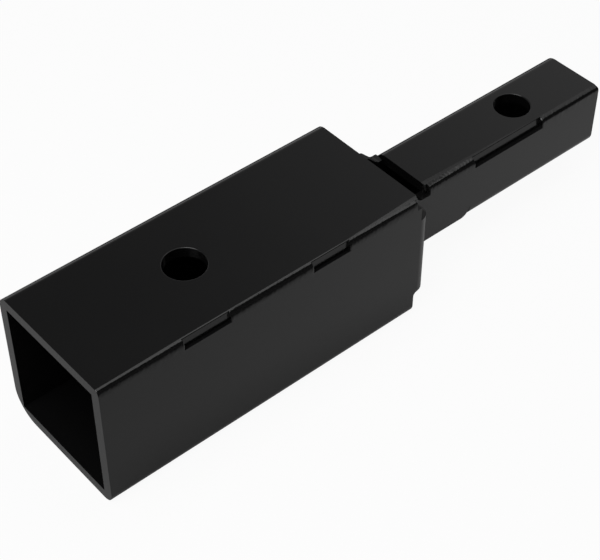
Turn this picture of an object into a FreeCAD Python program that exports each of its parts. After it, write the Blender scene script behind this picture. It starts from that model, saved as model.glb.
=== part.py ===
import FreeCAD, Part
import math
import os
import re
import Sketcher

# Hitch receiver adapter: a square receiver tube that is joggled down to a square shank.
# Two plates are each folded to an angle, joggled inwards behind the receiver and laid
# together corner to corner. Stitch welds hold the two seams.
# Lengths are in millimetres. Stations are measured along X from the open mouth, Y is
# across, Z is up from the face that the adapter rests on. The finished pieces are then
# moved so that the origin is under the middle of the whole length.

SIZES = (
    ("receiver_wide", 62.0, "outer width of the receiver tube"),
    ("receiver_tall", 62.0, "outer height of the receiver tube"),
    ("receiver_run", 152.0, "mouth to the rear edge of the receiver tube"),
    ("shank_wide", 31.0, "outer width of the shank"),
    ("shank_tall", 31.0, "outer height of the shank"),
    ("shank_run", 121.0, "rear edge of the receiver tube to the tip of the shank"),
    ("plate", 4.5, "thickness of both plates"),
    ("bend_inside", 0.6, "inside radius of the long folds"),
    ("joggle_inside", 1.5, "inside radius of the joggle's two folds"),
    ("strip_fold_side", 19.0, "middle height to the joggled wall's edge on its fold's side"),
    ("strip_free_side", 20.0, "middle height to the joggled wall's edge on its free side"),
    ("strip_corner", 2.0, "inner corner between the receiver's rear edge and that wall"),
    ("slope_round", 3.0, "rounding where that wall's edges start and end their slope"),
    ("slope_margin", 3.6, "foot of the slope on the fold's side to the upper shank wall"),
    ("receiver_seam_step", 2.1, "receiver's lapping wall to the outer face beyond it"),
    ("shank_seam_step", 2.6, "shank's lapping wall to the outer face beyond it"),
    ("edge_break", 0.4, "rounding of the seam edges and the pin hole rims"),
    ("upper_set_back", 0.3, "upper plate's rear edge to the end of the receiver tube"),
    ("lower_set_back", 1.4, "lower plate's rear edge to the end of the receiver tube"),
    ("receiver_corner", 2.0, "corner of the receiver's lapping wall at its rear edge"),
    ("shank_corner", 1.0, "corner of the shank's lapping wall at its front edge"),
    ("upper_neck", 19.2, "receiver tube to the shank wall of the upper plate"),
    ("lower_neck", 45.0, "receiver tube to the shank fold of the lower plate"),
    ("upper_stub_round", 0.8, "corner of the upper plate's side wall at its shank wall"),
    ("lower_stub_round", 5.0, "corner of the lower plate's side wall at its shank wall"),
    ("stub_inset", 1.9, "side wall's edge in the neck to the outer face of the shank"),
    ("receiver_pin", 17.2, "bore of the receiver's pin hole"),
    ("receiver_pin_station", 60.8, "mouth to the receiver's pin hole"),
    ("shank_pin", 15.8, "bore of the shank's pin hole"),
    ("shank_pin_station", 38.0, "tip to the shank's pin hole"),
    ("dressed_round", 12.0, "rounding of the dressed corner at the mouth"),
    ("dressed_run", 14.0, "length of the dressed corner"),
    ("mouth_bead", 37.0, "length of the weld bead at the mouth"),
    ("first_gap", 21.0, "unwelded length behind it"),
    ("middle_bead", 39.0, "length of the middle bead"),
    ("second_gap", 18.0, "unwelded length behind it"),
    ("upper_root_bead", 26.0, "length of the bead at the root of the upper shank wall"),
    ("upper_shank_gap", 40.0, "unwelded length behind it"),
    ("lower_root_bead", 19.0, "length of the bead at the root of the lower shank wall"),
    ("lower_shank_gap", 21.0, "unwelded length behind it"),
    ("bead_fall", 2.5, "how far a bead's rounded face falls below the lapping wall"),
    ("bead_crown", 4.0, "radius of a bead's rounded face"),
    ("bead_end", 1.7, "rounding of a bead's free ends"),
)

# Places that several pieces share, written with the words of the table
BEND = "(plate + bend_inside)"
JOGGLE = "(plate + joggle_inside)"
TOTAL_RUN = "(receiver_run + shank_run)"
MIDDLE = "(receiver_tall / 2)"
RECEIVER_SIDE = "(receiver_wide / 2)"
RECEIVER_TOP = "receiver_tall"
SHANK_SIDE = "(shank_wide / 2)"
RECEIVER_SEAM = f"(receiver_seam_step - {RECEIVER_SIDE})"
SHANK_SEAM = f"(shank_seam_step - {SHANK_SIDE})"
SHANK_TOP = f"({MIDDLE} + shank_tall / 2)"
SHANK_FOOT = f"({MIDDLE} - shank_tall / 2 + plate)"
STRIP_TOP = f"({MIDDLE} + strip_fold_side)"
STRIP_FOOT = f"({MIDDLE} - strip_free_side)"
STUB_TOP = f"({SHANK_TOP} - stub_inset)"
JOGGLE_BACK = f"(receiver_run + {JOGGLE})"
SHANK_FRONT = "(receiver_run + upper_neck)"

# Reach of a rounding along the sides of a corner that turns by 45 degrees: the tangent of
# half the turn. The second word is that reach measured along one axis of the sloping side.
REACH = "(0.41421 * slope_round)"
REACH_SLOPED = "(0.29289 * slope_round)"

# The side on which an arc has its centre, seen along the outline
LEFT = 1
RIGHT = -1

doc = FreeCAD.newDocument("hitch_receiver_adapter")
sizes = doc.addObject("Spreadsheet::Sheet", "Sizes")
for row, (word, size, meaning) in enumerate(SIZES, start=1):
    sizes.set(f"A{row}", word)
    sizes.set(f"B{row}", str(size))
    sizes.set(f"C{row}", meaning)
    sizes.setAlias(f"B{row}", word)
doc.recompute()


def bound(text):
    """The expression that ties an object to the table's cells."""
    return re.sub(r"[a-z][a-z_]+", lambda word: "Sizes." + word.group(), text)


def amount(text):
    """The number that an expression comes to."""
    return float(sizes.evalExpression(bound(text)))


def tie(thing, field, text):
    """Binds one property of an object to the table."""
    thing.setExpression(field, bound(text))


def new_body(label):
    """An empty body whose frame is the mouth's frame."""
    body = doc.addObject("PartDesign::Body", label)
    body.Label = label
    return body


def new_sketch(body, name, plane, offset="0"):
    """A sketch on one of the body's own planes, moved along that plane's normal."""
    sketch = body.newObject("Sketcher::SketchObject", name)
    for feature in body.Origin.OriginFeatures:
        if feature.Role == plane:
            sketch.AttachmentSupport = [(feature, "")]
    sketch.MapMode = "FlatFace"
    tie(sketch, "AttachmentOffset.Base.z", offset)
    return sketch


def place_point(sketch, side, end, across, up):
    """Fixes one end of a side by its two distances from the sketch's origin."""
    for kind, text in (("DistanceX", across), ("DistanceY", up)):
        rule = Sketcher.Constraint(kind, -1, 1, side, end, amount(text))
        tie(sketch, f"Constraints[{sketch.addConstraint(rule)}]", text)


def arc_through(start, end, radius, side):
    """The shorter arc between two points, with its centre on the given side."""
    chord = end - start
    normal = FreeCAD.Vector(-chord.y, chord.x, 0).normalize() * side
    reach = math.sqrt(max(radius ** 2 - (chord.Length / 2) ** 2, 0))
    centre = (start + end) / 2 + normal * reach
    return Part.Arc(start, centre - normal * radius, end)


def draw_outline(sketch, corners):
    """Closes an outline through its corners.

    A corner is its two places. Where a radius and a side follow them, the stretch that
    leaves the corner is an arc of that radius.
    """
    count = len(corners)
    points = [FreeCAD.Vector(amount(corner[0]), amount(corner[1]), 0) for corner in corners]
    ends = []
    for number, corner in enumerate(corners):
        start = points[number]
        finish = points[(number + 1) % count]
        if len(corner) == 2:
            sketch.addGeometry(Part.LineSegment(start, finish))
            ends.append((1, 2))
            continue
        radius, side = corner[2:]
        sketch.addGeometry(arc_through(start, finish, amount(radius), side))
        ends.append((1, 2) if side == LEFT else (2, 1))
    for number, corner in enumerate(corners):
        following = (number + 1) % count
        place_point(sketch, number, ends[number][0], corner[0], corner[1])
        sketch.addConstraint(Sketcher.Constraint(
            "Coincident", number, ends[number][1], following, ends[following][0]))
        if len(corner) == 4:
            rule = Sketcher.Constraint("Radius", number, amount(corner[2]))
            tie(sketch, f"Constraints[{sketch.addConstraint(rule)}]", corner[2])


def draw_circle(sketch, across, bore):
    """A circle on the sketch's first axis."""
    centre = FreeCAD.Vector(amount(across), 0, 0)
    sketch.addGeometry(Part.Circle(centre, FreeCAD.Vector(0, 0, 1), amount(bore) / 2))
    sketch.addConstraint(Sketcher.Constraint("PointOnObject", 0, 3, -1))
    rule = Sketcher.Constraint("DistanceX", -1, 1, 0, 3, amount(across))
    tie(sketch, f"Constraints[{sketch.addConstraint(rule)}]", across)
    rule = Sketcher.Constraint("Diameter", 0, amount(bore))
    tie(sketch, f"Constraints[{sketch.addConstraint(rule)}]", bore)


def pad(body, name, sketch, length):
    """Adds a sketch's outline, carried along its normal."""
    feature = body.newObject("PartDesign::Pad", name)
    feature.Profile = sketch
    tie(feature, "Length", length)
    body.Tip = feature
    doc.recompute()
    return feature


def cut_through(body, name, sketch):
    """Cuts a sketch's outline all the way through, to both sides of its plane."""
    before = body.Shape.Volume
    feature = body.newObject("PartDesign::Pocket", name)
    feature.Profile = sketch
    feature.Type = "ThroughAll"
    feature.Midplane = True
    body.Tip = feature
    doc.recompute()
    check_cut(name, before, body)
    return feature


def cut_forward(body, name, sketch, length):
    """Cuts a sketch's outline for a length along the plane's normal."""
    before = body.Shape.Volume
    feature = body.newObject("PartDesign::Pocket", name)
    feature.Profile = sketch
    feature.Reversed = True
    tie(feature, "Length", length)
    body.Tip = feature
    doc.recompute()
    check_cut(name, before, body)
    return feature


def check_cut(name, before, body):
    """Stops where a cut took nothing away."""
    if body.Shape.Volume >= before:
        raise RuntimeError(f"{name} cut nothing")


def edges_on(shape, wanted):
    """Names of the edges whose start, middle and end all satisfy a test."""
    found = []
    for number, edge in enumerate(shape.Edges, start=1):
        if all(wanted(point) for point in edge.discretize(3)):
            found.append(f"Edge{number}")
    return found


def near(value, text):
    """True where a coordinate lies at the place that the expression gives."""
    return abs(value - amount(text)) < 0.001


def round_edges(body, name, edges, radius):
    """Rounds the named edges of the body."""
    base = body.Tip
    feature = body.newObject("PartDesign::Fillet", name)
    feature.Base = (base, edges)
    tie(feature, "Radius", radius)
    body.Tip = feature
    doc.recompute()
    return feature


def put(body, turned):
    """Moves a body so that the origin is under the middle of the whole length.

    The turned pieces are the same forms, given half a turn about the adapter's long axis.
    """
    if turned:
        body.Placement.Rotation = FreeCAD.Rotation(FreeCAD.Vector(1, 0, 0), 180)
        tie(body, "Placement.Base.z", "receiver_tall")
    tie(body, "Placement.Base.x", f"-{TOTAL_RUN} / 2")


def folded_section(seam, side, top, foot):
    """A plate folded once: a top wall that stops short at -Y and a side wall at +Y."""
    return [
        (seam, top),
        (f"{side} - {BEND}", top, BEND, RIGHT),
        (side, f"{top} - {BEND}"),
        (side, foot),
        (f"{side} - plate", foot),
        (f"{side} - plate", f"{top} - {BEND}", "bend_inside", LEFT),
        (f"{side} - {BEND}", f"{top} - plate"),
        (seam, f"{top} - plate"),
    ]


def joggle_plan(root):
    """The side wall seen from above: two quarter folds carry it in to the shank."""
    turn = f"({JOGGLE_BACK} + joggle_inside)"
    return [
        ("receiver_run", RECEIVER_SIDE, JOGGLE, RIGHT),
        (JOGGLE_BACK, f"{RECEIVER_SIDE} - {JOGGLE}"),
        (JOGGLE_BACK, f"{SHANK_SIDE} + joggle_inside", "joggle_inside", LEFT),
        (turn, SHANK_SIDE),
        (root, SHANK_SIDE),
        (root, f"{SHANK_SIDE} - plate"),
        (turn, f"{SHANK_SIDE} - plate", JOGGLE, RIGHT),
        ("receiver_run + joggle_inside", f"{SHANK_SIDE} + joggle_inside"),
        ("receiver_run + joggle_inside", f"{RECEIVER_SIDE} - {JOGGLE}", "joggle_inside", LEFT),
        ("receiver_run", f"{RECEIVER_SIDE} - plate"),
    ]


def neck_trim_above(root, corner, set_back):
    """What is cut from the plate behind the receiver, on the fold's side.

    The edge drops from the receiver's rear edge to the joggled wall, slopes down to the
    shank at 45 degrees and ends in the corner at the shank wall.
    """
    rear = f"(receiver_run - {set_back})"
    slope_end = f"({SHANK_FRONT} - slope_margin)"
    slope_start = f"({slope_end} - {STRIP_TOP} + {STUB_TOP})"
    return [
        (rear, f"{RECEIVER_TOP} + plate"),
        (rear, f"{STRIP_TOP} + strip_corner", "strip_corner", LEFT),
        (f"{rear} + strip_corner", STRIP_TOP),
        (f"{slope_start} - {REACH}", STRIP_TOP, "slope_round", RIGHT),
        (f"{slope_start} + {REACH_SLOPED}", f"{STRIP_TOP} - {REACH_SLOPED}"),
        (f"{slope_end} - {REACH_SLOPED}", f"{STUB_TOP} + {REACH_SLOPED}", "slope_round", LEFT),
        (f"{slope_end} + {REACH}", STUB_TOP),
        (f"{root} - {corner}", STUB_TOP, corner, RIGHT),
        (root, f"{STUB_TOP} - {corner}"),
        (f"{root} + plate", f"{STUB_TOP} - {corner}"),
        (f"{root} + plate", f"{RECEIVER_TOP} + plate"),
    ]


def neck_trim_below(root):
    """What is cut from the joggled wall on the side of its free edge."""
    slope_end = f"({JOGGLE_BACK} + {SHANK_FOOT} - {STRIP_FOOT})"
    return [
        (f"{JOGGLE_BACK} - {REACH}", f"{STRIP_FOOT} - plate"),
        (f"{JOGGLE_BACK} - {REACH}", STRIP_FOOT, "slope_round", LEFT),
        (f"{JOGGLE_BACK} + {REACH_SLOPED}", f"{STRIP_FOOT} + {REACH_SLOPED}"),
        (f"{slope_end} - {REACH_SLOPED}", f"{SHANK_FOOT} - {REACH_SLOPED}", "slope_round", RIGHT),
        (f"{slope_end} + {REACH}", SHANK_FOOT),
        (f"{root} + plate", SHANK_FOOT),
        (f"{root} + plate", f"{STRIP_FOOT} - plate"),
    ]


def tongue_plan(root):
    """The lower shank wall's tongue, which a slit parts from the joggled side wall."""
    return [
        (SHANK_FRONT, SHANK_SEAM),
        (root, SHANK_SEAM),
        (root, f"{SHANK_SIDE} - {BEND}"),
        (SHANK_FRONT, f"{SHANK_SIDE} - {BEND}"),
    ]


def wall_corner(end, seam, radius, outward):
    """What is cut from a lapping wall's corner, which points along X to the given side."""
    sign, centre = ("+", LEFT) if outward > 0 else ("-", RIGHT)
    inner = f"{end} {'-' if outward > 0 else '+'} {radius}"
    return [
        (inner, seam, radius, centre),
        (end, f"{seam} + {radius}"),
        (f"{end} {sign} plate", f"{seam} + {radius}"),
        (f"{end} {sign} plate", f"{seam} - plate"),
        (inner, f"{seam} - plate"),
    ]


def dressed_corner(turned):
    """The corner that is ground round at the mouth: low at +Y on the finished adapter."""
    if turned:
        return [
            (f"-{RECEIVER_SIDE} - plate", f"{RECEIVER_TOP} + plate"),
            (f"-{RECEIVER_SIDE} - plate", f"{RECEIVER_TOP} - dressed_round"),
            (f"-{RECEIVER_SIDE}", f"{RECEIVER_TOP} - dressed_round", "dressed_round", RIGHT),
            (f"dressed_round - {RECEIVER_SIDE}", RECEIVER_TOP),
            (f"dressed_round - {RECEIVER_SIDE}", f"{RECEIVER_TOP} + plate"),
        ]
    return [
        (f"{RECEIVER_SIDE} + plate", "-plate"),
        (f"{RECEIVER_SIDE} + plate", "dressed_round"),
        (RECEIVER_SIDE, "dressed_round", "dressed_round", RIGHT),
        (f"{RECEIVER_SIDE} - dressed_round", "0"),
        (f"{RECEIVER_SIDE} - dressed_round", "-plate"),
    ]


def folded_shell(label, neck, corner, set_back, turned):
    """One plate: folded to the receiver's angle, joggled in and folded to the shank's.

    The shank walls of both plates start level with each other. Where the plate's own neck
    is the longer one, its shank wall reaches forward to there as a tongue.
    """
    root = f"(receiver_run + {neck})"
    body = new_body(label)
    sketch = new_sketch(body, label + "_receiver_section", "YZ_Plane")
    draw_outline(sketch, folded_section(RECEIVER_SEAM, RECEIVER_SIDE, RECEIVER_TOP, "plate"))
    pad(body, label + "_receiver_angle", sketch, "receiver_run")
    sketch = new_sketch(body, label + "_joggle_plan", "XY_Plane", STRIP_FOOT)
    draw_outline(sketch, joggle_plan(root))
    pad(body, label + "_joggle", sketch, f"{STRIP_TOP} + strip_corner - {STRIP_FOOT}")
    sketch = new_sketch(body, label + "_trim_above", "XZ_Plane")
    draw_outline(sketch, neck_trim_above(root, corner, set_back))
    cut_through(body, label + "_neck_above", sketch)
    sketch = new_sketch(body, label + "_trim_below", "XZ_Plane")
    draw_outline(sketch, neck_trim_below(root))
    cut_through(body, label + "_neck_below", sketch)
    sketch = new_sketch(body, label + "_shank_section", "YZ_Plane", root)
    draw_outline(sketch, folded_section(SHANK_SEAM, SHANK_SIDE, SHANK_TOP, SHANK_FOOT))
    pad(body, label + "_shank_angle", sketch, f"shank_run - {neck}")
    if neck != "upper_neck":
        sketch = new_sketch(body, label + "_tongue_plan", "XY_Plane", f"{SHANK_TOP} - plate")
        draw_outline(sketch, tongue_plan(root))
        pad(body, label + "_tongue", sketch, "plate")
    pin_holes = (("receiver_pin_station", "receiver_pin"),
                 (f"{TOTAL_RUN} - shank_pin_station", "shank_pin"))
    for station, bore in pin_holes:
        sketch = new_sketch(body, f"{label}_{bore}_circle", "XY_Plane")
        draw_circle(sketch, station, bore)
        cut_through(body, f"{label}_{bore}_hole", sketch)
    sketch = new_sketch(body, label + "_dressed_outline", "YZ_Plane")
    draw_outline(sketch, dressed_corner(turned))
    cut_forward(body, label + "_dressed_corner", sketch, "dressed_run")
    edges = shell_edges(body.Shape, pin_holes)
    round_edges(body, label + "_edge_break", edges, "edge_break")
    wall_corners = (
        ("rear_corner", f"(receiver_run - {set_back})", RECEIVER_SEAM, "receiver_corner", 1),
        ("front_corner", SHANK_FRONT, SHANK_SEAM, "shank_corner", -1),
    )
    for name, end, seam, radius, outward in wall_corners:
        sketch = new_sketch(body, f"{label}_{name}_outline", "XY_Plane")
        draw_outline(sketch, wall_corner(end, seam, radius, outward))
        cut_through(body, f"{label}_{name}", sketch)
    put(body, turned)
    return body


def shell_edges(shape, pin_holes):
    """The outer rims of the pin holes and the outer edges along the seams."""
    edges = []
    for top, seam in ((RECEIVER_TOP, RECEIVER_SEAM), (SHANK_TOP, SHANK_SEAM)):
        edges += edges_on(shape, lambda point: near(point.z, top) and near(point.y, seam))
        for station, bore in pin_holes:
            edges += edges_on(shape, lambda point: near(point.z, top) and near(
                math.hypot(point.x - amount(station), point.y), f"{bore} / 2"))
    return edges


def bead_plan(inner, outer, start, end, free_ends):
    """A bead seen from above: its outer corners are round where it ends in the open."""
    corners = [(start, inner)]
    if start in free_ends:
        corners += [(start, f"{outer} + bead_end", "bead_end", LEFT), (f"{start} + bead_end", outer)]
    else:
        corners.append((start, outer))
    if end in free_ends:
        corners += [(f"{end} - bead_end", outer, "bead_end", LEFT), (end, f"{outer} + bead_end")]
    else:
        corners.append((end, outer))
    corners.append((end, inner))
    return corners


def weld_bead(label, inner, side, top, start, end, free_ends, turned):
    """A stitch weld that fills the step of a seam for a length."""
    outer = f"-{side}"
    body = new_body(label)
    sketch = new_sketch(body, label + "_plan", "XY_Plane", f"{top} - plate")
    draw_outline(sketch, bead_plan(inner, outer, start, end, free_ends))
    pad(body, label + "_run", sketch, "plate")
    sketch = new_sketch(body, label + "_crown_outline", "YZ_Plane")
    draw_outline(sketch, [
        (inner, top, "bead_crown", LEFT),
        (outer, f"{top} - bead_fall"),
        (f"{outer} - plate", f"{top} - bead_fall"),
        (f"{outer} - plate", f"{top} + plate"),
        (inner, f"{top} + plate"),
    ])
    cut_through(body, label + "_crown", sketch)
    put(body, turned)
    return body


def seam_beads(name, neck, root_bead, shank_gap, set_back, turned):
    """The stitch welds along one seam, from the mouth to the tip.

    The turned seam has none at the mouth, where its corner is dressed.
    """
    rear_end = f"(receiver_run - {set_back} - receiver_corner)"
    root = f"(receiver_run + {neck} + shank_corner)"
    middle = "(mouth_bead + first_gap)"
    middle_end = f"({middle} + middle_bead)"
    rear = f"({middle_end} + second_gap)"
    root_end = f"({root} + {root_bead})"
    tip = f"({root_end} + {shank_gap})"
    receiver = (RECEIVER_SEAM, RECEIVER_SIDE, RECEIVER_TOP)
    shank = (SHANK_SEAM, SHANK_SIDE, SHANK_TOP)
    runs = [
        ("middle", receiver, middle, middle_end, (middle, middle_end)),
        ("rear", receiver, rear, rear_end, (rear, rear_end)),
        ("root", shank, root, root_end, (root, root_end)),
        ("tip", shank, tip, TOTAL_RUN, (tip,)),
    ]
    if not turned:
        runs.insert(0, ("mouth", receiver, "0", "mouth_bead", ("mouth_bead",)))
    return [weld_bead(f"{name}_bead_{place}", *tube, start, end, free_ends, turned)
            for place, tube, start, end, free_ends in runs]


pieces = [
    folded_shell("upper_folded_shell", "upper_neck", "upper_stub_round", "upper_set_back", False),
    folded_shell("lower_folded_shell", "lower_neck", "lower_stub_round", "lower_set_back", True),
]
for name, turned in (("upper", False), ("lower", True)):
    pieces += seam_beads(f"{name}_seam", f"{name}_neck", f"{name}_root_bead",
                         f"{name}_shank_gap", f"{name}_set_back", turned)
doc.recompute()

for thing in doc.Objects:
    if "Invalid" in thing.State or "Error" in thing.State:
        raise RuntimeError(f"{thing.Name} did not compute: {thing.State}")
for piece in pieces:
    shape = piece.Shape
    if shape.isNull() or not shape.isValid() or len(shape.Solids) != 1:
        raise RuntimeError(f"{piece.Label} is not one valid solid")

os.makedirs("parts", exist_ok=True)
for piece in pieces:
    piece.Shape.exportStep(os.path.join("parts", piece.Label + ".step"))
    box = piece.Shape.BoundBox
    print(f"{piece.Label}: {piece.Shape.Volume:.1f} mm3, x {box.XMin:.2f} to {box.XMax:.2f}, "
          f"y {box.YMin:.2f} to {box.YMax:.2f}, z {box.ZMin:.2f} to {box.ZMax:.2f}")
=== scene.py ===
# %% [markdown]
# # A welded hitch receiver adapter
# The object is one welded steel part in black powder coat: a square receiver tube, open at its
# mouth, that is joggled down to a smaller square shank. Its plates and welds are already in the
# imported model, at their true size and place. So this file adds what such a model lacks: a
# rounding on every edge, rippled welds, paint, and a small studio. Everything is in metres,
# with X along the adapter from its mouth to its tip, Y across and Z up.

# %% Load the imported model
import math

import bpy
from mathutils import Matrix, Vector


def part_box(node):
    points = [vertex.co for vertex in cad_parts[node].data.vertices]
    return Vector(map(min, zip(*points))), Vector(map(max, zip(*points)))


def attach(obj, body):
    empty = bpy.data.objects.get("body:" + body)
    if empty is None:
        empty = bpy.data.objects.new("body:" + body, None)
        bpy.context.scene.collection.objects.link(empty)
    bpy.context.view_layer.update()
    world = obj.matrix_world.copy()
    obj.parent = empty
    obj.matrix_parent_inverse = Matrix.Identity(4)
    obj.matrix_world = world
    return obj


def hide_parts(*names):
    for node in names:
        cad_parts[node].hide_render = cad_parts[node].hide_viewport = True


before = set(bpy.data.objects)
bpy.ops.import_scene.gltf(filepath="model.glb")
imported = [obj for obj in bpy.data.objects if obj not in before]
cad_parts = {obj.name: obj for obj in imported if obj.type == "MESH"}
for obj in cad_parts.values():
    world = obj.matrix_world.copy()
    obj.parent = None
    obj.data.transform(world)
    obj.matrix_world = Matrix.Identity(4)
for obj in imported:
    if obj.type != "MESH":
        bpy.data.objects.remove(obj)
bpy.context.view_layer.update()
print("packed pieces:", ", ".join(sorted(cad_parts)))

# %% [markdown]
# ## Units and places
# Small sizes are easier to read in millimetres, so a millimetre has a name. Places come from
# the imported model's own boxes, which keeps this file true when the model changes. A mesh holds
# only about seven digits of a number, so two places count as one when they are closer than a
# hundredth of a millimetre.

# %% Units and places
MM = 0.001
TOUCH = 0.01 * MM
MERGE = 0.002 * MM

receiver_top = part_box("upper_folded_shell")[1].z
print("receiver's top:", round(receiver_top / MM, 2), "mm")


def near_value(value, target):
    return abs(value - target) < TOUCH


# %% [markdown]
# ## The camera
# A photograph is a pinhole view, so the camera is given by where it stands, how it is turned
# and how long its lens is. The lens is written in pixels of a 600 by 560 picture, because that
# is how it was measured, and then turned into millimetres on Blender's 36 mm sensor. The small
# shift says that the lens axis doesn't pass exactly through the picture's centre.

# %% Camera
PICTURE_WIDTH = 600
PICTURE_HEIGHT = 560
FOCAL_PIXELS = 1581.0
AXIS_PIXEL = (309.66, 278.22)
SENSOR_WIDTH = 36.0
CLIP_START = 0.01
CLIP_END = 100
CAMERA_PLACE = Vector((-0.3147, -0.3445, 0.46595))
AZIMUTH = math.radians(-41.04)
ELEVATION = math.radians(44.59)
ROLL = math.radians(0.455)

back = Vector((math.sin(AZIMUTH) * math.cos(ELEVATION),
               -math.cos(AZIMUTH) * math.cos(ELEVATION),
               math.sin(ELEVATION)))
level_right = Vector((0, 0, 1)).cross(back).normalized()
level_up = back.cross(level_right)
right = level_right * math.cos(ROLL) + level_up * math.sin(ROLL)
up = level_up * math.cos(ROLL) - level_right * math.sin(ROLL)

lens = bpy.data.cameras.new("camera")
lens.sensor_width = SENSOR_WIDTH
lens.lens = FOCAL_PIXELS / PICTURE_WIDTH * SENSOR_WIDTH
lens.shift_x = (PICTURE_WIDTH / 2 - AXIS_PIXEL[0]) / PICTURE_WIDTH
lens.shift_y = (AXIS_PIXEL[1] - PICTURE_HEIGHT / 2) / PICTURE_WIDTH
lens.clip_start = CLIP_START
lens.clip_end = CLIP_END
camera = bpy.data.objects.new("camera", lens)
bpy.context.scene.collection.objects.link(camera)
camera_turn = Matrix((right, up, back)).transposed().to_4x4()
camera.matrix_world = Matrix.Translation(CAMERA_PLACE) @ camera_turn
bpy.context.scene.camera = camera
bpy.context.scene.view_settings.view_transform = "Standard"
print("lens:", round(lens.lens, 2), "mm")

# %% [markdown]
# ## Shader sums written as Python
# Blender's materials are graphs of nodes. Adding each node by hand hides what is worked out, so
# one small class lets a node's output be added, multiplied and subtracted like a number, and
# one method adds every other kind of node.

# %% Helpers for node graphs
class Signal:
    """One output of a node graph, used in sums as if it were a number."""

    def __init__(self, graph, made, output=0):
        self.graph = graph
        self.made = made
        self.output = output

    def pick(self, output):
        """Another output of the same node."""
        return Signal(self.graph, self.made, output)

    def __add__(self, other):
        return self.graph.sum("ADD", self, other)

    def __radd__(self, other):
        return self.graph.sum("ADD", other, self)

    def __sub__(self, other):
        return self.graph.sum("SUBTRACT", self, other)

    def __rsub__(self, other):
        return self.graph.sum("SUBTRACT", other, self)

    def __mul__(self, other):
        return self.graph.sum("MULTIPLY", self, other)

    def __rmul__(self, other):
        return self.graph.sum("MULTIPLY", other, self)


class Graph:
    """A node graph that starts empty."""

    def __init__(self, owner):
        owner.use_nodes = True
        self.tree = owner.node_tree
        self.tree.nodes.clear()

    def sum(self, operation, first, second):
        return self.node("ShaderNodeMath", {"operation": operation}, {0: first, 1: second})

    def node(self, kind, settings=None, inputs=None, output=0):
        """Adds a node: its settings come first, then the values or links of its sockets."""
        made = self.tree.nodes.new(kind)
        for name, value in (settings or {}).items():
            setattr(made, name, value)
        for place, value in (inputs or {}).items():
            if isinstance(value, Signal):
                self.tree.links.new(value.made.outputs[value.output], made.inputs[place])
            else:
                made.inputs[place].default_value = value
        return Signal(self, made, output)

    def ramp(self, value, span, levels):
        """A smooth step from the first level to the second, as the value crosses the span."""
        return self.node("ShaderNodeMapRange", {"interpolation_type": "SMOOTHSTEP"},
                         {0: value, 1: span[0], 2: span[1], 3: levels[0], 4: levels[1]})


# %% [markdown]
# ## The studio
# Black gloss has almost no colour of its own: what shows is the room in it. From the camera,
# the side wall mirrors the pale floor beside it, the top mirrors the room up and behind, and
# the thin line along each rounded edge mirrors a soft box overhead. So the studio is built for
# its reflections.
#
# ### The room
# The room could be one plain grey, but the top of the real part grows lighter towards its
# shank. So the world is a graph on the direction of each ray. It is dark towards the camera,
# dim above and behind, lighter past the shank's end, and pale along the horizon behind. Light
# Path tells the camera's own rays from the others, and those see plain white.

# %% Room
ROOM_FRONT = 0.03
ROOM_NEAR = 0.06
ROOM_FAR = 0.94
LOW_SHARE = 0.2
HORIZON_LEVELS = (0.05, 0.8)
PAST_TIP_SHARE = 0.1

# Where each level changes, in the parts of a direction, which run from -1 to 1
BEHIND_SPAN = (-0.45, 0.45)
NEAR_SPAN = (0.30, 0.42)
FAR_SPAN = (0.2, 1.2)
LOW_SPAN = (0.25, 0.55)
HORIZON_SPAN = (0.0, 0.55)
HORIZON_BEHIND_SPAN = (-0.6, 0.3)
PAST_TIP_SPAN = (0.55, 0.80)

world = bpy.data.worlds.new("studio")
bpy.context.scene.world = world
room = Graph(world)
direction = room.node("ShaderNodeTexCoord", output="Generated")
parts = room.node("ShaderNodeSeparateXYZ", inputs={0: direction})
along, depth, height = parts.pick("X"), parts.pick("Y"), parts.pick("Z")
behind = room.ramp(depth, BEHIND_SPAN, (0, 1))
above = (ROOM_FRONT + behind * room.ramp(along, NEAR_SPAN, (ROOM_NEAR, 0))
         + behind * room.ramp(along, FAR_SPAN, (0, ROOM_FAR))
         * room.ramp(height, LOW_SPAN, (LOW_SHARE, 1)))
horizon = (room.ramp(height, HORIZON_SPAN, (1, 0))
           * room.ramp(along, PAST_TIP_SPAN, (1, PAST_TIP_SHARE)))
level = above + horizon * room.ramp(depth, HORIZON_BEHIND_SPAN, HORIZON_LEVELS)
seen = room.node("ShaderNodeLightPath", output="Is Camera Ray")
strength = level * (1 - seen) + seen
light = room.node("ShaderNodeBackground", inputs={"Color": (1, 1, 1, 1), "Strength": strength})
room.node("ShaderNodeOutputWorld", inputs={"Surface": light})
print("room:", len(room.tree.nodes), "nodes")

# %% [markdown]
# ### The soft boxes
# A soft box is a lamp behind a wide sheet of cloth. Blender's area lamp is one: its size sets
# how wide the bright line on a rounded edge is, and its radiance, the light that each bit of
# it sends out, how bright. Two boxes hang side by side overhead, the one towards the tip
# dimmer, as the shank's edges are. The key box hangs past the mouth, and gives the floor and
# the mouth's lips most of their light. A lamp is set in watts, so its radiance and its area are
# turned into those.

# %% Soft boxes
# Each box's lowest and highest corner seen from above, its height, and its radiance
SOFT_BOXES = {
    "soft_box_over_receiver": ((-0.05, -0.20), (0.66, 0.34), 0.95, 1.3),
    "soft_box_over_shank": ((0.66, -0.20), (1.00, 0.34), 0.95, 0.42),
    "key_soft_box": ((-1.00, -0.55), (-0.20, 0.25), 1.05, 4.2),
}


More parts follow.
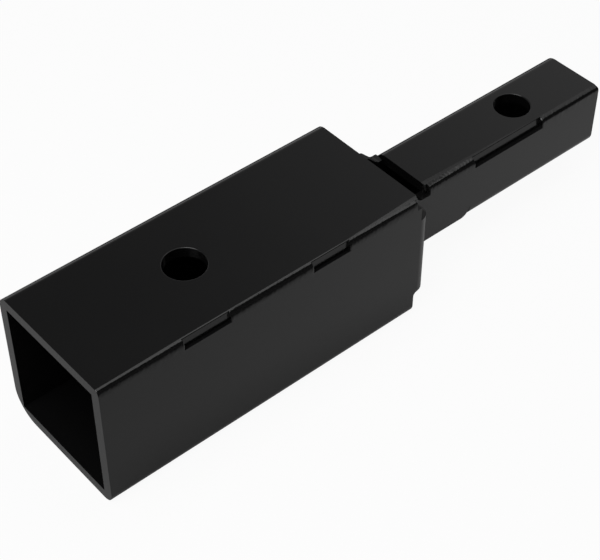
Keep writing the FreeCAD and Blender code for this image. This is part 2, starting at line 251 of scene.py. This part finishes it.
def hang_soft_box(name, low, high, hung_at, radiance):
    """A lamp between two corners at a height, facing down."""
    lamp = bpy.data.lights.new(name, "AREA")
    lamp.shape = "RECTANGLE"
    lamp.size = high[0] - low[0]
    lamp.size_y = high[1] - low[1]
    lamp.energy = radiance * math.pi * lamp.size * lamp.size_y
    hung = bpy.data.objects.new(name, lamp)
    bpy.context.scene.collection.objects.link(hung)
    hung.location = ((low[0] + high[0]) / 2, (low[1] + high[1]) / 2, hung_at)
    print(name, "gives", round(lamp.energy, 2), "W")


for name, (low, high, hung_at, radiance) in SOFT_BOXES.items():
    hang_soft_box(name, low, high, hung_at, radiance)

# %% [markdown]
# ### The floor
# The floor is one wide plane. It has to look white, keep the part's soft shadow, and still
# mirror only dimly in the black paint. One material does all three. To the camera it is mostly
# a plain white glow, with a little matt surface that takes the shadow. To mirrored rays it shows
# only a share of itself. The share falls off towards the camera, grows towards the tip, and is
# small behind the rear half of the part. So in the paint's reflections the floor carries painted
# light and shade: painted shade towards the camera and behind the rear half, and a painted pool
# of light towards the tip.

# %% Floor
FLOOR_SIDE = 12.0
FLOOR_TONE = 0.86
GLOW_SEEN = 0.94
GLOW_MIRRORED = 0.20

# Where the mirrored share changes, in metres on the floor, and what it changes between
FRONT_SPAN = (-0.22, -0.085)
FRONT_SHARES = (0.05, 0.40)
LENGTH_SPAN = (-0.20, 0.20)
LENGTH_GAINS = (1.1, 1.8)
REAR_SPAN = (0.03, 0.06)
REAR_SHARE = 0.10
REAR_HALF_SPAN = (-0.06, 0.0)

bpy.ops.object.select_all(action="DESELECT")
bpy.ops.mesh.primitive_plane_add(size=FLOOR_SIDE, location=(0, 0, 0))
floor = bpy.context.object
floor.name = "floor"
floor_paint = bpy.data.materials.new("pale_floor")
ground = Graph(floor_paint)
rays = ground.node("ShaderNodeLightPath")
seen = rays.pick("Is Camera Ray")
mirrored = rays.pick("Is Glossy Ray")
through = rays.pick("Is Transmission Ray")
floor_place = ground.node("ShaderNodeTexCoord", output="Object")
floor_parts = ground.node("ShaderNodeSeparateXYZ", inputs={0: floor_place})
along, depth = floor_parts.pick("X"), floor_parts.pick("Y")
# Painted shade on the floor behind the rear half of the part, seen only in the paint's
# reflections
painted_rear_shade = (ground.ramp(depth, REAR_SPAN, (0, 1 - REAR_SHARE))
               * ground.ramp(along, REAR_HALF_SPAN, (0, 1)))
# The mirrored share: painted light and shade on the floor, seen only in the paint's reflections
share = (ground.ramp(depth, FRONT_SPAN, FRONT_SHARES)
         * ground.ramp(along, LENGTH_SPAN, LENGTH_GAINS) * (1 - painted_rear_shade))
lift = seen * GLOW_SEEN + (mirrored + through) * GLOW_MIRRORED * share
tone = (1 - mirrored * (1 - share)) * FLOOR_TONE
matt = ground.node("ShaderNodeBsdfDiffuse", inputs={"Color": tone})
white = ground.node("ShaderNodeEmission", inputs={"Color": (1, 1, 1, 1), "Strength": 1.0})
mixed = ground.node("ShaderNodeMixShader", inputs={0: lift, 1: matt, 2: white})
ground.node("ShaderNodeOutputMaterial", inputs={"Surface": mixed})
floor.data.materials.append(floor_paint)
print("floor:", FLOOR_SIDE, "m square,", len(ground.tree.nodes), "nodes in its paint")

# %% [markdown]
# ## Powder coat
# The paint is a semi-gloss black powder coat. Powder flows as it is baked, and leaves a fine
# orange peel: soft bumps about a millimetre across and a few microns high. The colour is nearly
# black all over, so the peel, a slow change in gloss and the room's reflection are what show.
# A picture of paint would have to be wrapped round the folds, so two noises on the object's own
# coordinates are used: a fine one for the peel and a coarse one for the gloss. The welds get a
# deeper peel, because powder flows less evenly over ripples.

# %% Paint
PAINT = (0.0045, 0.0045, 0.0046, 1)
GLOSS_ROUGHNESS = 0.18
GLOSS_CHANGE = 0.10
NOISE_MIDDLE = 0.5
PEEL_SCALE = 750.0
PEEL_DETAIL = 2.0
SLOW_SCALE = 28.0
SLOW_DETAIL = 3.0
PLATE_PEEL = 3e-6
WELD_PEEL = 5e-6


def powder_coat(name, peel_height):
    """Black powder coat with an orange peel of the given height in metres."""
    material = bpy.data.materials.new(name)
    graph = Graph(material)
    place = graph.node("ShaderNodeTexCoord", output="Object")
    peel = graph.node("ShaderNodeTexNoise", inputs={
        "Vector": place, "Scale": PEEL_SCALE, "Detail": PEEL_DETAIL})
    slow = graph.node("ShaderNodeTexNoise", inputs={
        "Vector": place, "Scale": SLOW_SCALE, "Detail": SLOW_DETAIL})
    rough = GLOSS_ROUGHNESS + (slow - NOISE_MIDDLE) * GLOSS_CHANGE
    bump = graph.node("ShaderNodeBump", inputs={
        "Height": peel * peel_height, "Distance": 1.0, "Strength": 1.0})
    surface = graph.node("ShaderNodeBsdfPrincipled", inputs={
        "Base Color": PAINT, "Roughness": rough, "Normal": bump})
    graph.node("ShaderNodeOutputMaterial", inputs={"Surface": surface})
    print(name, "has", len(graph.tree.nodes), "nodes")
    return material


plate_paint = powder_coat("powder_coat_on_plate", PLATE_PEEL)
weld_paint = powder_coat("powder_coat_on_weld", WELD_PEEL)

# %% [markdown]
# ## Working in edit mode
# An operator works on what is selected in the active piece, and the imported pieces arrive
# selected. So each step first deselects everything and opens one piece. Points and faces are
# then selected in code, by their place or their direction. Blender reads such a selection when
# it enters edit mode, so the helpers leave edit mode, select, and enter it again.

# %% Helpers for edit mode
def start_editing(piece):
    """Makes a piece the only selected one and opens it in edit mode with nothing selected."""
    bpy.ops.object.select_all(action="DESELECT")
    piece.select_set(True)
    bpy.context.view_layer.objects.active = piece
    bpy.ops.object.mode_set(mode="EDIT")
    bpy.ops.mesh.select_all(action="DESELECT")


def stop_editing():
    bpy.ops.object.mode_set(mode="OBJECT")


def edit_whole(piece):
    """Opens a piece in edit mode with all of it selected."""
    start_editing(piece)
    bpy.ops.mesh.select_all(action="SELECT")


def edit_faces(piece, wanted):
    """Opens a piece in edit mode with only the faces selected that satisfy a test."""
    start_editing(piece)
    stop_editing()
    for face in piece.data.polygons:
        face.select = wanted(face)
    bpy.ops.object.mode_set(mode="EDIT")


def select_points(piece, wanted):
    """Selects the points of an opened piece whose places satisfy a test."""
    bpy.ops.mesh.select_all(action="DESELECT")
    stop_editing()
    for vertex in piece.data.vertices:
        vertex.select = wanted(vertex.co)
    bpy.ops.object.mode_set(mode="EDIT")


# %% [markdown]
# ## One set of tools for both sides
# The lower plate is the same form as the upper one, turned half a turn about the long axis, and
# its seam and welds turn with it. So all that follows is written for the upper side. A lower
# piece is turned over as well, and its packed box is read as if the adapter were turned over.

# %% Turn a piece over
TURN_CENTRE = (0, 0, receiver_top / 2)


def turn_over(piece):
    """Gives a piece's mesh half a turn about the adapter's long axis."""
    edit_whole(piece)
    bpy.ops.transform.rotate(value=math.pi, orient_axis="X", center_override=TURN_CENTRE)
    stop_editing()


def own_box(node):
    """A node's box; that of a lower piece is given as if the adapter were turned over."""
    low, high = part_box(node)
    if node.startswith("upper"):
        return low, high
    return (Vector((low.x, -high.y, receiver_top - high.z)),
            Vector((high.x, -low.y, receiver_top - low.z)))


# %% [markdown]
# ## The two folded plates
# Each plate is cut from sheet and folded, and its cut edges are a little round under their
# paint. That roundness is what catches the light, and the imported plates have it only along
# their seams and round their pin holes. Drawing a plate anew would lose its true folds, and a
# imported mesh may not be changed, so each plate is copied. An imported mesh is loose
# triangles. Merging their corners and dissolving the edges between level triangles leaves whole
# faces, which later cuts and bevels need.

# %% Copy a packed plate
LEVEL_ANGLE = math.radians(0.5)


def merged_copy(node, name):
    """A piece of its own with the node's mesh, its triangles joined into whole faces."""
    piece = bpy.data.objects.new(name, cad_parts[node].data.copy())
    bpy.context.scene.collection.objects.link(piece)
    piece.data.materials.clear()
    edit_whole(piece)
    bpy.ops.mesh.remove_doubles(threshold=MERGE)
    bpy.ops.mesh.dissolve_limited(angle_limit=LEVEL_ANGLE)
    stop_editing()
    return piece


# %% [markdown]
# ### How wide the seam's ramp is
# Along a seam, one plate's wall ends beside a weld, and its top isn't level there. Shearing
# rolls the edge over and leaves a narrow lip, and the weld melts it down further, most where
# the bead was laid slowly. The slope mirrors a soft box, and makes the thin bright line along
# the whole seam. It could be painted on, but a real slope stays right from every side. So it is
# a ramp in the mesh. Its width is given at both ends of every bead and changes evenly between.

# %% The ramp along a seam
RECEIVER_BEADS = ("mouth", "middle", "rear")
SHANK_BEADS = ("root", "tip")
RAMP_WIDTHS = {
    "mouth": (0.3 * MM, 0.7 * MM),
    "middle": (0.7 * MM, 0.6 * MM),
    "rear": (0.6 * MM, 2.0 * MM),
    "root": (2.3 * MM, 1.4 * MM),
    "tip": (0.3 * MM, 0.1 * MM),
}
RAMP_SLOPE = 0.11
RAMP_LIP = 0.05 * MM


def ramp_marks(side, tube):
    """Stations along one tube's seam with the ramp's width at each."""
    marks = []
    for bead in tube:
        node = f"{side}_seam_bead_{bead}"
        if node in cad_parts:
            low, high = own_box(node)
            marks += [(low.x, RAMP_WIDTHS[bead][0]), (high.x, RAMP_WIDTHS[bead][1])]
    return marks


def ramp_slope(width):
    """A narrow ramp is steeper, because the sheared lip is about as deep everywhere."""
    return RAMP_SLOPE + RAMP_LIP / width


def ramp_width(marks, station):
    """The ramp's width at a station, unchanged before the first mark and after the last."""
    if station <= marks[0][0]:
        return marks[0][1]
    for (start, start_width), (end, end_width) in zip(marks, marks[1:]):
        if station <= end:
            part = (station - start) / (end - start)
            return start_width + part * (end_width - start_width)
    return marks[-1][1]


# %% [markdown]
# ### Moving the edge out and drawing it down
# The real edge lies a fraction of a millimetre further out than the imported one, and its cut
# face leans. So the face's points are moved first, its foot furthest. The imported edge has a
# rounding of 0.4 mm, and that goes with the face, drawn in to half its width. Then the mesh
# needs points where the ramp bends. Bisect cuts across the plate give it them at every mark,
# and two lengthwise cuts, one at the ramp's inner edge and one just outside that, keep the
# change of slope crisp. Last, every point on the ramp and its rounding is lowered by the slope
# times its distance from the inner edge. The foot stays.

# %% Draw the seam edges down
EDGE_OUT = (dict.fromkeys(RECEIVER_BEADS, 0.5 * MM)
            | dict.fromkeys(SHANK_BEADS, 0.2 * MM))
FOOT_OUT = 0.7 * MM
CUT_FACE_REACH = 0.42 * MM
RAMP_CREASE = 0.1 * MM
RAMP_DEPTH = 1.2 * MM
PAST_ENDS = 0.1
UPRIGHT = 0.99


def move_edge_out(piece, seam, foot, top, edge_out):
    """Moves a cut face and its rounding outwards, the foot furthest, so that it leans."""
    for vertex in piece.data.vertices:
        inward = vertex.co.y - seam
        in_face = -TOUCH < inward < CUT_FACE_REACH
        if in_face and foot - TOUCH < vertex.co.z < top + TOUCH:
            out = FOOT_OUT if near_value(vertex.co.z, foot) else edge_out
            vertex.co.y = seam + inward / 2 - out


def cut_across(piece, station):
    """Bisects a whole piece at a station."""
    edit_whole(piece)
    bpy.ops.mesh.bisect(plane_co=(station, 0, 0), plane_no=(1, 0, 0), threshold=MERGE)
    stop_editing()


def cut_along(piece, marks, edge, top, inset):
    """Bisects the wall's top along the ramp's inner edge, moved outwards by an inset."""
    (first, first_width), (last, last_width) = marks[0], marks[-1]
    points = [(first - PAST_ENDS, first_width), *marks, (last + PAST_ENDS, last_width)]
    for (start, start_width), (end, end_width) in zip(points, points[1:]):
        edit_faces(piece, lambda face: face.normal.z > UPRIGHT
                   and near_value(face.center.z, top) and start < face.center.x < end)
        along = Vector((end - start, end_width - start_width, 0)).normalized()
        bpy.ops.mesh.bisect(plane_co=(start, edge + start_width - inset, 0),
                            plane_no=(-along.y, along.x, 0), threshold=MERGE)
        stop_editing()


def lower_ramp(piece, marks, edge, top):
    """Lowers the points between the ramp's inner edge and the cut face."""
    for vertex in piece.data.vertices:
        width = ramp_width(marks, vertex.co.x)
        reach = edge + width - vertex.co.y
        if reach > 0 and top - RAMP_DEPTH < vertex.co.z < top + TOUCH:
            vertex.co.z -= ramp_slope(width) * reach


def draw_down(piece, side):
    """Gives a plate its moved and lowered edge along the receiver and along the shank."""
    for tube in (RECEIVER_BEADS, SHANK_BEADS):
        marks = ramp_marks(side, tube)
        low, high = own_box(f"{side}_seam_bead_{tube[-1]}")
        seam, foot, top = high.y, low.z, high.z
        edge_out = EDGE_OUT[tube[0]]
        move_edge_out(piece, seam, foot, top, edge_out)
        for station, _ in marks:
            cut_across(piece, station)
        for inset in (0, RAMP_CREASE):
            cut_along(piece, marks, seam - edge_out, top, inset)
        lower_ramp(piece, marks, seam - edge_out, top)


# %% [markdown]
# ### Rounding the edges
# A bevel modifier rounds every edge that is sharper than an angle limit. The folds are made of
# finer steps than that, so they stay as they are. Smooth shading alone would bend the light on
# the large flat faces near each bevel. Weighted normals let the large faces decide, so they
# mirror the room as flat plates do.

# %% Round the edges
EDGE_ROUND = 0.22 * MM
EDGE_STEPS = 3
SHARP = math.radians(40)
FACE_WEIGHT = 100


def round_edges(piece):
    """Rounds the sharp edges and keeps the large faces flat in their shading."""
    bpy.context.view_layer.objects.active = piece
    bevel = piece.modifiers.new("edge_round", "BEVEL")
    bevel.width = EDGE_ROUND
    bevel.segments = EDGE_STEPS
    bevel.limit_method = "ANGLE"
    bevel.angle_limit = SHARP
    bpy.ops.object.modifier_apply(modifier=bevel.name)
    bpy.ops.object.select_all(action="DESELECT")
    piece.select_set(True)
    bpy.ops.object.shade_smooth()
    level_faces = piece.modifiers.new("level_faces", "WEIGHTED_NORMAL")
    level_faces.weight = FACE_WEIGHT
    bpy.ops.object.modifier_apply(modifier=level_faces.name)


# %% [markdown]
# ### Dressing both plates
# The seams are drawn down before the edges are rounded, so that the bevel rounds the ramp's
# outer edge too. Each dressed plate stands for its packed plate, which stays hidden, and rides
# on the same body.

# %% Dress both plates
for side in ("upper", "lower"):
    plate = merged_copy(f"{side}_folded_shell", f"{side}_plate")
    if side == "lower":
        turn_over(plate)
    draw_down(plate, side)
    if side == "lower":
        turn_over(plate)
    round_edges(plate)
    plate.data.materials.append(plate_paint)
    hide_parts(f"{side}_folded_shell")
    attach(plate, "root")
    print(plate.name, "has", len(plate.data.polygons), "faces")

# %% [markdown]
# ## The stitch welds
# A stitch weld is a short bead of melted steel in the step between the two plates, with the
# ripples that the moving torch leaves. A round bar with a bump texture would look the same from
# afar, but the bead's crown and ripples show against the edge, so they are real shapes. Each
# bead is a block that is crowned, cut into rings, rippled and roughened.
#
# ### The block
# The block fills the step. It stands a hair proud of the side, laps over the moved edge, and
# sinks into the steel below, so that no gap shows.

# %% A block in the seam
BEAD_PROUD = 0.02 * MM
BEAD_LAP = 0.28 * MM
BEAD_SINK = 0.4 * MM


def add_block(name, low, high):
    """A block that fills a box, with its place and size in its mesh."""
    bpy.ops.object.select_all(action="DESELECT")
    bpy.ops.mesh.primitive_cube_add(size=1, location=(low + high) / 2, scale=high - low)
    piece = bpy.context.object
    piece.name = name
    bpy.ops.object.transform_apply(location=True, rotation=True, scale=True)
    return piece


# %% [markdown]
# ### Crown and roof
# The block's outer top edge is bevelled into a crown, and its flat top is split into strips
# along the bead. The crown is then scaled at each end by itself, and the top is lowered column
# by column so that it falls outwards like a roof. The roof starts a hair above the plate's
# ramp. The two ends differ, because a weld laid by hand is never even, and the long edges
# between them carry the change.

# %% Crown and roof of a bead
CROWN_BEVEL = 2.0 * MM
CROWN_STEPS = 12
CROWN_PROFILE = 0.55
ROOF_STRIPS = 4
INNER_FACE = 0.1 * MM

# At each bead's start and finish, in millimetres: how far the roof has fallen at its outer
# edge, how far the crown reaches across, and how far down
BEAD_SHAPES = {
    "mouth": ((0.40, 1.4, 3.0), (0.47, 1.5, 3.0)),
    "middle": ((0.65, 2.0, 3.2), (0.65, 1.5, 3.2)),
    "rear": ((0.65, 1.6, 3.2), (0.80, 0.9, 3.6)),
    "root": ((0.60, 1.1, 2.7), (0.80, 1.8, 2.1)),
    "tip": ((0.65, 1.7, 1.5), (0.55, 1.2, 1.6)),
}


def cut_edges(piece, wanted, cuts):
    """Cuts the edges whose two end points satisfy a test into equal parts."""
    bpy.ops.mesh.select_mode(type="EDGE")
    bpy.ops.mesh.select_all(action="DESELECT")
    stop_editing()
    points = piece.data.vertices
    for edge in piece.data.edges:
        edge.select = wanted(*(points[number].co for number in edge.vertices))
    bpy.ops.object.mode_set(mode="EDIT")
    bpy.ops.mesh.subdivide(number_cuts=cuts)
    bpy.ops.mesh.select_mode(type="VERT")


def split_roof(piece, roof):
    """Splits the flat top at the roof's height into strips along the bead."""
    cut_edges(piece, lambda one, other: near_value(one.z, roof) and near_value(other.z, roof)
              and near_value(one.x, other.x), ROOF_STRIPS - 1)


def column_of(co):
    """Where across the bead a point lies, to a thousandth of a millimetre."""
    return round(co.y, 6)


def lower_end(piece, station, foot, fall):
    """Lowers one end's points above the foot, each column by what fall says for its place."""
    stop_editing()
    columns = {column_of(vertex.co) for vertex in piece.data.vertices
               if near_value(vertex.co.x, station) and vertex.co.z > foot}
    bpy.ops.object.mode_set(mode="EDIT")
    for column in sorted(columns):
        select_points(piece, lambda co: near_value(co.x, station)
                      and column_of(co) == column and co.z > foot)
        bpy.ops.transform.translate(value=(0, 0, -fall(column)))


def shape_crown(piece, place, low, high, inner, outer):
    """Bevels the outer top edge, then gives crown and roof their size at both ends."""
    def in_crown(co):
        return co.y < inner - INNER_FACE and co.z > low.z

    select_points(piece, in_crown)
    bpy.ops.mesh.bevel(offset=CROWN_BEVEL, segments=CROWN_STEPS, profile=CROWN_PROFILE)
    split_roof(piece, high.z)
    ends = zip((low.x, high.x), BEAD_SHAPES[place], RAMP_WIDTHS[place])
    for station, (fallen, across, down), ramp in ends:
        select_points(piece, lambda co: near_value(co.x, station) and in_crown(co))
        bpy.ops.transform.resize(value=(1, across * MM / CROWN_BEVEL, down * MM / CROWN_BEVEL),
                                 center_override=(station, outer, high.z))
        toe = ramp_slope(ramp) * max(ramp - BEAD_LAP, 0) - BEAD_PROUD
        slope = (fallen * MM - toe) / (inner - outer)
        lower_end(piece, station, low.z, lambda column: toe + slope * (inner - column))


# %% [markdown]
# ### Rings and ripples
# The long edges are cut into rings about 0.3 mm apart. Six rings in turn make one ripple: their
# points swell or shrink about the seam's inner corner, by less than half a percent each. A
# ripple isn't straight across. It is a crescent, because the melted steel sets from its edges
# inwards as the torch moves on, so points on the crown's middle count as further along. Last,
# the end rings are drawn in: by 3% where a bead ends level with its plate, by 8% where it ends
# along the seam, and by 18% at the front of the shank's first weld, which tapers.

# %% Rings and ripples of a bead
RING_GAP = 0.30 * MM
RIPPLES = (0.996, 0.999, 1.002, 1.004, 1.003, 1.0)
RIPPLE_RINGS = len(RIPPLES)
RIPPLE_BOW = 1.2
LONG_SHARE = 0.9
FLUSH_END = 0.97
FREE_END = 0.92
ROOT_END = 0.82
BEAD_ENDS = {
    "mouth": (FLUSH_END, FREE_END),
    "middle": (FREE_END, FREE_END),
    "rear": (FREE_END, FLUSH_END),
    "root": (ROOT_END, FREE_END),
    "tip": (FREE_END, FLUSH_END),
}


def ring_count(length):
    return round(length / RING_GAP)


def cut_rings(piece, length):
    """Cuts the edges that run along the bead into rings."""
    cut_edges(piece, lambda one, other: abs(one.x - other.x) > LONG_SHARE * length,
              ring_count(length) - 1)


def ripple(piece, place, low, high):
    """Swells and shrinks crescents of points in turn, then draws in the two end rings."""
    gap = (high.x - low.x) / ring_count(high.x - low.x)
    corner = Vector((0, high.y, low.z))

    def ring_of(co):
        """Which ring of its ripple a point belongs to."""
        turned = math.atan2(co.z - corner.z, corner.y - co.y) / (math.pi / 2)
        bow = RIPPLE_BOW * (1 - (2 * turned - 1) ** 2)
        passed = (co.x - low.x) / gap / RIPPLE_RINGS + bow
        return int(passed * RIPPLE_RINGS) % RIPPLE_RINGS

    for turn, factor in enumerate(RIPPLES):
        select_points(piece, lambda co: ring_of(co) == turn)
        bpy.ops.transform.resize(value=(1, factor, factor), center_override=corner)
    for station, factor in zip((low.x, high.x), BEAD_ENDS[place]):
        select_points(piece, lambda co: near_value(co.x, station))
        bpy.ops.transform.resize(value=(1, factor, factor), center_override=corner)


# %% [markdown]
# ### Lumps
# Equal ripples look machined. A cloud texture moves the surface in and out by less than a
# tenth of a millimetre, in lumps about a millimetre wide, so that no two ripples are the same.
# A displace modifier does that in one step, and the smooth shading stops at sharp edges.

# %% Lumps on a bead
LUMP_SIZE = 1.2 * MM
LUMP_HEIGHT = 0.15 * MM


def roughen(piece, node):
    """Moves the bead's surface in and out by a cloud texture, then smooths its shading."""
    clouds = bpy.data.textures.new(node + "_lumps", "CLOUDS")
    clouds.noise_scale = LUMP_SIZE
    lumps = piece.modifiers.new("lumps", "DISPLACE")
    lumps.texture = clouds
    lumps.texture_coords = "LOCAL"
    lumps.strength = LUMP_HEIGHT
    bpy.context.view_layer.objects.active = piece
    bpy.ops.object.modifier_apply(modifier=lumps.name)
    bpy.ops.object.select_all(action="DESELECT")
    piece.select_set(True)
    bpy.ops.object.shade_smooth_by_angle(angle=SHARP)


# %% [markdown]
# ### Laying every bead
# Each packed weld gives its bead's place and length, so nothing is typed twice. A lower weld is
# made on the upper side of the turned adapter and then turned over to its own seam.

# %% Lay all the beads
def lay_bead(node, place):
    """One stitch weld in its seam, seen from the side of the upper plate."""
    low, high = own_box(node)
    outer = low.y - BEAD_PROUD
    inner = high.y - EDGE_OUT[place] + BEAD_LAP
    name = node.replace("seam_bead", "weld")
    piece = add_block(name, Vector((low.x, outer, low.z - BEAD_SINK)),
                      Vector((high.x, inner, high.z)))
    start_editing(piece)
    shape_crown(piece, place, low, high, inner, outer)
    cut_rings(piece, high.x - low.x)
    ripple(piece, place, low, high)
    stop_editing()
    return piece


for node in sorted(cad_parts):
    if "_bead_" not in node:
        continue
    place = node.rsplit("_", 1)[1]
    bead = lay_bead(node, place)
    if node.startswith("lower"):
        turn_over(bead)
    roughen(bead, node)
    bead.data.materials.append(weld_paint)
    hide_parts(node)
    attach(bead, "root")
    print(bead.name, "has", len(bead.data.polygons), "faces")
